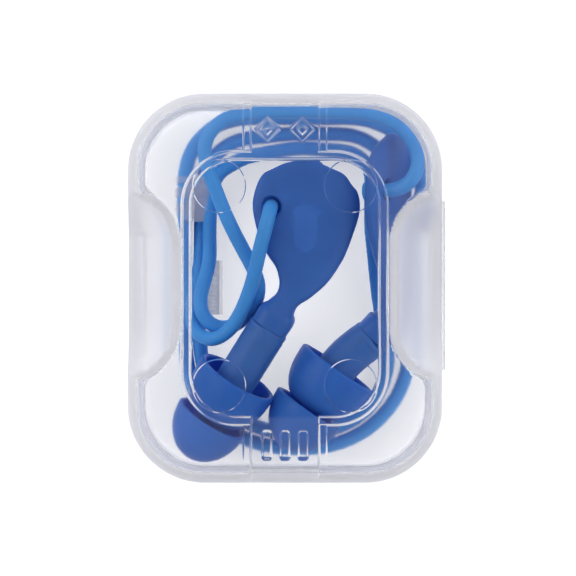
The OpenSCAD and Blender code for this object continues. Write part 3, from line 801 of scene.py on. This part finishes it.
PLUGS = {
    "a": {"at": (-11.0, -19.7, 9.6), "turn": 58.0, "rise": 12.0},
    "b": {"at": (3.7, -18.2, 9.7), "turn": 54.8, "rise": 3.5},
}
PITCH = 7.6
BASE_FLANGE = {"r": 6.35, "h": 8.2, "power": 2.6, "flat": 2.3}
TIP_FLANGE = {"r": 5.7, "h": 7.2, "power": 2.0, "flat": 0.4}
FLANGE_WALL = 1.1
SLEEVE_R = 3.1
BOSS_R = 2.3
PIN_R = 1.3
PIN_SPAN = (-5.4, 7.2)
PIN_BEVEL = 0.2
STOP_GAP = 0.06
SLEEVE_GAP, SLEEVE_PAST, SLEEVE_STEP = 0.1, 0.4, 0.35
PADDLE_T = 1.3
RIM_SHARE = 0.7

# half widths and half thicknesses of a grip at its stations, from the stem to its far end
GRIP_W = [2.9, 2.9, 2.2, 1.95, 3.0, 4.5, 6.1, 7.5, 8.1, 7.5, 6.1, 4.3, 2.0]
GRIP_T = [2.9, 2.9, 2.1, 1.7, 1.45, 1.3, 1.3, 1.3, 1.3, 1.3, 1.25, 1.1, 0.8]
GRIP_ROUND = 0.72
GRIP_STEPS = 6
GRIP_END_OUT = 0.55
# a grip's middle line, its roll about it (0 lies flat, 90 stands on its edge), its hole, and the
# points through which the stem bends on its way to it
GRIPS = {
    "a": {
        "line": [
            (-2.3, -5.8, 12.8), (-1.1, -3.9, 13.2), (-0.5, -2.9, 13.4), (0.5, -1.5, 13.7),
            (1.7, 0.3, 14.0), (2.6, 2.6, 14.2), (3.0, 5.4, 14.3), (3.1, 9.2, 14.3),
            (3.2, 12.4, 14.3), (3.3, 15.2, 14.2), (3.5, 17.0, 14.1), (3.6, 18.1, 14.0),
            (3.7, 18.9, 13.9),
        ],
        "roll": [0] * 13,
        "hole": (-2.1, 12.3, 14.3), "hole_roll": 0,
        "bend": [],
    },
    "b": {
        "line": [
            (13.2, -7.5, 10.7), (14.9, -5.8, 10.9), (15.6, -4.8, 11.1), (16.2, -3.0, 11.4),
            (16.4, -0.8, 11.6), (16.2, 1.8, 11.8), (15.9, 5.0, 11.8), (15.6, 9.2, 11.8),
            (15.6, 13.2, 11.8), (15.8, 16.8, 11.8), (16.1, 19.3, 11.8), (16.3, 21.2, 11.8),
            (16.5, 22.8, 11.8),
        ],
        "roll": [0, 10, 30, 55, 68, 72, 70, 67, 66, 64, 60, 58, 58],
        "hole": (14.3, 14.6, 14.7), "hole_roll": 66,
        "bend": [(9.6, -10.3, 10.25), (11.3, -8.9, 10.45)],
    },
}


def axis_matrix(plug):
    """From a plug's own axis, with the tip flange's rim at 0 and + towards the grip, to the case."""
    turn, rise = math.radians(plug["turn"]), math.radians(plug["rise"])
    return (Matrix.Translation(plug["at"]) @ Matrix.Rotation(turn, 4, "Z")
            @ Matrix.Rotation(math.pi / 2 - rise, 4, "Y"))


def lathe(profile, sides=96):
    """Points and faces of a profile of (radius, height) turned about Z; a zero radius closes it."""
    verts, faces, rings = [], [], []
    for r, z in profile:
        if r < 1e-6:
            rings.append([len(verts)])
            verts.append((0, 0, z))
        else:
            rings.append(list(range(len(verts), len(verts) + sides)))
            angles = [2 * math.pi * k / sides for k in range(sides)]
            verts += [(r * math.cos(angle), r * math.sin(angle), z) for angle in angles]
    for low, high in zip(rings, rings[1:]):
        for k in range(sides):
            n = (k + 1) % sides
            corners = [low[k % len(low)], low[n % len(low)], high[n % len(high)], high[k % len(high)]]
            face = list(dict.fromkeys(corners))
            if len(face) > 2:
                faces.append(face)
    return np.array(verts), faces


def moved(verts, matrix):
    """Points turned and shifted by a matrix."""
    turn, shift = np.array(matrix.to_3x3()), np.array(matrix.translation)
    return verts @ turn.T + shift


def dome_profile(shape, steps=36):
    """Outside of a flange from its apex to its rim, round the lip and back inside to the middle."""
    rim_r, h, power = shape["r"], shape["h"], shape["power"]

    def dome(r, width, height):
        return -height * (1 - min(r / width, 1) ** power) ** (1 / power)

    in_r, in_h = rim_r - FLANGE_WALL * RIM_SHARE, h - FLANGE_WALL
    outside = []
    for step in range(steps + 1):
        r = rim_r * math.sin(math.pi / 2 * step / steps)
        outside.append((r, dome(r, rim_r, h)))
    lip_r = (rim_r - in_r) / 2
    outside = [(r, z) for r, z in outside if z < -lip_r * 0.8]
    lip = [(rim_r - lip_r + lip_r * math.cos(a), -lip_r * 0.8 + lip_r * math.sin(a) * 0.8)
           for a in np.linspace(0, math.pi, 12)]
    inside = []
    for step in range(steps, -1, -1):
        r = in_r * math.sin(math.pi / 2 * step / steps)
        inside.append((r, dome(r, in_r, in_h)))
    inside = [(r, z) for r, z in inside if z < -lip_r * 0.9]
    return outside + lip + inside


def flanges(key):
    """A plug's two flanges and the pin inside them."""
    matrix = axis_matrix(PLUGS[key])
    low = Matrix.Translation((0, 0, PITCH))
    verts, faces = lathe(dome_profile(BASE_FLANGE))
    piece(f"flange_large_{key}", moved(verts, matrix @ low), faces, [flange_blue], "base",
          node=f"base_flange_{key}")
    tip = dome_profile(TIP_FLANGE)
    # the cup's inside runs up the post that carries the larger flange
    inside_from = next(i for i, (r, z) in enumerate(tip) if i > 40 and r < BOSS_R + 0.6)
    post_top = PITCH - BASE_FLANGE["h"]
    fillet_z = tip[inside_from][1]
    tip = tip[:inside_from]
    tip += [(BOSS_R + 0.35, fillet_z + 0.25), (BOSS_R + 0.1, fillet_z + 0.6),
            (BOSS_R, fillet_z + 1.1), (BOSS_R, post_top - 0.02), (0, post_top - 0.02)]
    verts, faces = lathe(tip)
    piece(f"flange_small_{key}", moved(verts, matrix), faces, [flange_blue], "base",
          node=f"tip_flange_{key}")
    start, end = PIN_SPAN
    pin = [(0, start), (PIN_R - PIN_BEVEL, start), (PIN_R, start + PIN_BEVEL),
           (PIN_R, end - PIN_BEVEL), (PIN_R - PIN_BEVEL, end), (0, end)]
    verts, faces = lathe(pin, 48)
    piece(f"core_pin_shape_{key}", moved(verts, matrix), faces, [pin_blue], "base",
          node=f"core_pin_{key}")


def sweep(centres, widths, thicknesses, rolls, sides, power):
    """Rings along a line, each a squared oval turned by its roll, closed at both ends."""
    rings = []
    last = len(centres) - 1
    for i, centre in enumerate(centres):
        heading = Vector(centres[min(i + 1, last)] - centres[max(i - 1, 0)]).normalized()
        level = Vector((0, 0, 1)).cross(heading).normalized()
        roll = math.radians(rolls[i])
        across = level * math.cos(roll) + heading.cross(level) * math.sin(roll)
        over = heading.cross(across)
        for k in range(sides):
            c, s = math.cos(2 * math.pi * k / sides), math.sin(2 * math.pi * k / sides)
            c, s = (math.copysign(abs(v) ** power, v) for v in (c, s))
            rings.append(np.array(centre) + np.array(across) * widths[i] * c
                         + np.array(over) * thicknesses[i] * s)
    verts = np.array(rings)
    faces = grid_faces(len(centres), sides)
    faces.append(list(range(sides))[::-1])
    faces.append(list(range(len(verts) - sides, len(verts))))
    return verts, faces


def hole_matrix(key):
    """From the axis of a grip's hole to the case."""
    shape = GRIPS[key]
    return Matrix.Translation(shape["hole"]) @ Matrix.Rotation(math.radians(shape["hole_roll"]), 4, "Y")


def grip(key):
    """The flat grip with its round end, and the cord's hole cut through it."""
    shape = GRIPS[key]
    stations_of = (shape["line"], GRIP_W, GRIP_T, shape["roll"])
    centres, widths, thicknesses, rolls = (refined(values, GRIP_STEPS) for values in stations_of)
    # the far end is closed by rings that shrink round a half circle
    heading = (centres[-1] - centres[-2]) / np.linalg.norm(centres[-1] - centres[-2])
    for angle in (20, 40, 58, 74, 86):
        shrink = math.cos(math.radians(angle))
        out = math.sin(math.radians(angle)) * GRIP_END_OUT
        centres = np.vstack([centres, shape["line"][-1] + heading * out])
        widths = np.append(widths, GRIP_W[-1] * shrink)
        thicknesses = np.append(thicknesses, GRIP_T[-1] * shrink)
        rolls = np.append(rolls, rolls[-1])
    verts, faces = sweep(centres, widths, thicknesses, rolls, 64, GRIP_ROUND)
    obj = piece(f"grip_shape_{key}", verts, faces, [grip_blue], "base", node=f"grip_{key}")
    half = [(HOLE_R, 0.4), (HOLE_R + 0.05, PADDLE_T - 0.35), (HOLE_R + 0.3, PADDLE_T - 0.05),
            (HOLE_R + 1.2, PADDLE_T + 0.45), (HOLE_R + 1.2, 6), (0, 6)]
    flare = [(r, -z) for r, z in half[::-1]] + half
    cut_verts, cut_faces = lathe(flare, 64)
    cutter = piece(f"cutter_{key}", moved(cut_verts, hole_matrix(key)), cut_faces, [grip_blue], None)
    carve = obj.modifiers.new("hole", "BOOLEAN")
    carve.operation = "DIFFERENCE"
    carve.solver = "EXACT"
    carve.object = cutter
    bpy.context.view_layer.update()
    depsgraph = bpy.context.evaluated_depsgraph_get()
    carved = bpy.data.meshes.new_from_object(obj.evaluated_get(depsgraph))
    obj.modifiers.clear()
    obj.data = carved
    bpy.data.objects.remove(cutter)
    obj.data.set_sharp_from_angle(angle=math.radians(50))
    return obj


def stem(key):
    """The round sleeve, with a small collar where the grip begins."""
    plug, shape = PLUGS[key], GRIPS[key]
    at = np.array(plug["at"])
    heading = np.array(axis_matrix(plug).to_3x3() @ Vector((0, 0, 1)))
    start = PITCH - BASE_FLANGE["h"] + FLANGE_WALL + SLEEVE_GAP
    keys = [at + heading * s for s in (start, 2.2, 4.0, 6.0, PITCH + SLEEVE_PAST)]
    keys += [np.array(p) for p in shape["bend"]] + [np.array(shape["line"][0])]
    centres = spline(keys, SLEEVE_STEP)
    along = np.concatenate([[0], np.cumsum(np.linalg.norm(np.diff(centres, axis=0), axis=1))])
    radii = np.full(len(centres), SLEEVE_R)
    from_end = along[-1] - along
    radii -= 0.10 * ramp(np.abs(from_end - 1.0) - 0.1, 0.3)
    radii -= 0.25 * np.clip(1 - from_end / 0.25, 0, 1) ** 2
    verts, faces = sweep(centres, radii, radii, np.zeros(len(centres)), 64, 1)
    return piece(f"stem_shape_{key}", verts, faces, [stem_blue], "base", node=f"stem_sleeve_{key}")


def cord_stop(key):
    """A small bead that keeps the cord's end behind the grip."""
    profile = [(0, -1.25), (0.9, -1.22), (1.45, -1.0), (1.75, -0.6), (1.75, -0.3), (1.5, -0.02), (0, 0)]
    verts, faces = lathe([(r, z - PADDLE_T - STOP_GAP) for r, z in profile], 48)
    return piece(f"stop_bead_{key}", moved(verts, hole_matrix(key)), faces, [cord_blue], "base",
                 node=f"cord_stop_{key}")


# ---- tie ------------------------------------------------------------------

FILM_T = 0.12
TAIL_W, TAIL_L, TAIL_LEG_W = 2.5, 8.3, 1.6
TAIL_RIBS, TAIL_RIB_H = 14, 0.06
# across the tail: share of its width, share of its thickness
TAIL_SECTION = [(0, 0), (0.02, 0.6), (0.06, 1), (0.60, 1), (0.66, 0.5), (0.74, 0.5), (0.80, 0.8), (1, 0)]
# how much the tail's film hides, across its width: a pale band, a dark line of painted shade along its
# groove, and a clear edge
TAIL_COVER_AND_GROOVE_SHADE = (0, 0.60, 0.66, 0.74, 0.80, 1), (0.45, 0.45, 0.62, 0.62, 0.15, 0.15)


def tie():
    """Film wrapped round the bundle, open at both ends, and the tie's ribbed grey tail."""
    low, high = (np.array(c) / MM - [CENTRE_X, 0, 0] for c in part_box("tie_sleeve"))
    middle = (low + high) / 2
    half_x, half_z = (high[0] - low[0]) / 2, (high[2] - low[2]) / 2
    sides, rows = 72, 26
    skins = []
    for thin in (0.0, FILM_T):
        for i in range(rows):
            t = i / (rows - 1)
            y = low[1] + (high[1] - low[1]) * t
            crimp = 1 - 0.03 * math.sin(t * 17) - 0.02 * math.sin(t * 41)
            for k in range(sides):
                angle = 2 * math.pi * k / sides
                c, s = (math.copysign(abs(v) ** 0.55, v) for v in (math.cos(angle), math.sin(angle)))
                wave = 1 + 0.015 * math.sin(3 * angle + t * 9)
                slant = 0.9 * (t - 0.5) * math.sin(angle)
                skins.append((middle[0] + (half_x - thin) * c * crimp * wave, y + slant * 0.6,
                              middle[2] + (half_z - thin) * s * min(crimp, 1)))
    verts = np.array(skins)
    count = rows * sides
    faces = grid_faces(rows, sides, flip=True) + grid_faces(rows, sides, count)
    for row in (0, rows - 1):
        for k in range(sides):
            n = (k + 1) % sides
            a, b = row * sides + k, row * sides + n
            ring = [a, b, count + b, count + a]
            faces.append(ring if row == 0 else ring[::-1])
    sleeve = piece("tie_wrap", verts, faces, [tie_film], "base", node="tie_sleeve")

    low, high = (np.array(c) / MM - [CENTRE_X, 0, 0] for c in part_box("tie_tail"))
    rows, across, thick = 120, len(TAIL_SECTION), high[2] - low[2]
    left, top = high[0] - TAIL_W, low[1] + TAIL_L
    verts = []
    for i in range(rows):
        t = i / (rows - 1)
        turn = t * 2 * math.pi * TAIL_RIBS
        for u, v in TAIL_SECTION:
            edge = 0.05 * math.cos(turn) * (u - 0.5)
            rib = TAIL_RIB_H * math.sin(turn) * (v == 1)
            verts.append((left + TAIL_W * u + edge, low[1] + TAIL_L * t, low[2] + thick * v + rib))
    faces = grid_faces(rows, across, flip=True)
    faces += [list(range(across)), list(range(len(verts) - across, len(verts)))[::-1]]
    # the stretch beneath the cord, up to the sleeve
    leg = low[0] + TAIL_LEG_W
    under = [(leg, top - TAIL_LEG_W), (leg, high[1]), (low[0], high[1]), (low[0], top - TAIL_LEG_W)]
    start = len(verts)
    verts += [(x, y, z) for z in (low[2], low[2] + thick * 0.9) for x, y in under]
    faces += grid_faces(2, 4, start)
    faces += [list(range(start, start + 4))[::-1], list(range(start + 4, start + 8))]
    # the film's cover across the tail, darker along the groove as painted shade
    tail = piece("tie_strip", verts, faces, [tail_film], "base", node="tie_tail",
                 haze=lambda x, y, z: np.interp((x - left) / TAIL_W, *TAIL_COVER_AND_GROOVE_SHADE))
    return sleeve, tail


# ---- build ----------------------------------------------------------------

for key in PLUGS:
    flanges(key)
    stem(key)
    grip(key)
stops = [cord_stop(key) for key in PLUGS]
tie_pieces = tie()
base_shell()
lid_shell()
hinge()
latch()

# ---- floor and light ------------------------------------------------------

# the floor is white paper that glows by its own emission as painted light, a little brighter under the
# middle of the case as a painted pool of light
GLOW_REACH = 27.0
GLOW = (0.72, 0.52)
FLOOR_REACH, FLOOR_DOWN = 0.9, 0.0002
PAPER = (0.93, 0.93, 0.93, 1)
floor_mesh = bpy.data.meshes.new("floor")
floor_mesh.from_pydata([(x * FLOOR_REACH, y * FLOOR_REACH, 0)
                        for x, y in ((-1, -1), (1, -1), (1, 1), (-1, 1))], [], [(0, 1, 2, 3)])
floor = bpy.data.objects.new("floor", floor_mesh)
floor.location.z = -FLOOR_DOWN
bpy.context.collection.objects.link(floor)
floor_look, nodes, links, surface = material("floor")
glowing_paper = add(nodes, "BsdfPrincipled", {"Base Color": PAPER, "Roughness": 0.8,
                                      "Emission Color": (1, 1, 1, 1)})
place = add(nodes, "TexCoord")
away = add(nodes, "VectorMath", operation="LENGTH")
# painted pool of light: the floor's own glow is strongest at the middle and weaker beyond GLOW_REACH
glow = add(nodes, "MapRange", {"From Max": GLOW_REACH * MM, "To Min": GLOW[0], "To Max": GLOW[1]},
           interpolation_type="SMOOTHSTEP")
links.new(place.outputs["Object"], away.inputs[0])
links.new(away.outputs["Value"], glow.inputs["Value"])
links.new(glow.outputs["Result"], glowing_paper.inputs["Emission Strength"])
links.new(glowing_paper.outputs["BSDF"], surface)
floor_mesh.materials.append(floor_look)

# brightness of the room by the sine of the height above the horizon: grey walls, a bright ring of
# lamps, and dark straight above, where the camera is
SKY = [(0.0, (0.95, 0.95, 1.0)), (0.25, (0.62, 0.62, 0.66)), (0.5, (0.27, 0.27, 0.27)),
       (0.85, (0.24, 0.24, 0.25)), (0.95, (0.04, 0.04, 0.05)), (1.0, (0.02, 0.02, 0.02))]
SKY_STRENGTH = 1.1

scene = bpy.context.scene
scene.view_settings.view_transform = "Standard"
world = bpy.data.worlds.new("world")
scene.world = world
world.use_nodes = True
nodes, links = world.node_tree.nodes, world.node_tree.links
direction, height = add(nodes, "TexCoord"), add(nodes, "SeparateXYZ")
glow = add(nodes, "ValToRGB")
for position, colour in SKY[2:]:
    glow.color_ramp.elements.new(position)
for element, (position, colour) in zip(glow.color_ramp.elements, SKY):
    element.position = position
    element.color = (*colour, 1)
links.new(direction.outputs["Generated"], height.inputs["Vector"])
links.new(height.outputs["Z"], glow.inputs["Fac"])
links.new(glow.outputs["Color"], nodes["Background"].inputs["Color"])
nodes["Background"].inputs["Strength"].default_value = SKY_STRENGTH


def softbox(name, place, size, power):
    """A rectangular lamp that faces the case."""
    lamp = bpy.data.lights.new(name, "AREA")
    lamp.shape = "RECTANGLE"
    lamp.size, lamp.size_y = size
    lamp.energy = power
    obj = bpy.data.objects.new(name, lamp)
    obj.location = place
    obj.rotation_euler = (-Vector(place)).to_track_quat("-Z", "Y").to_euler()
    bpy.context.collection.objects.link(obj)
    return obj


softbox("left_box", place=(-0.55, 0.15, 0.55), size=(0.5, 0.5), power=1.45)
softbox("right_box", place=(0.55, 0.05, 0.55), size=(0.5, 0.5), power=1.2)
softbox("top_box", place=(0.0, 0.6, 0.5), size=(0.6, 0.3), power=0.9)
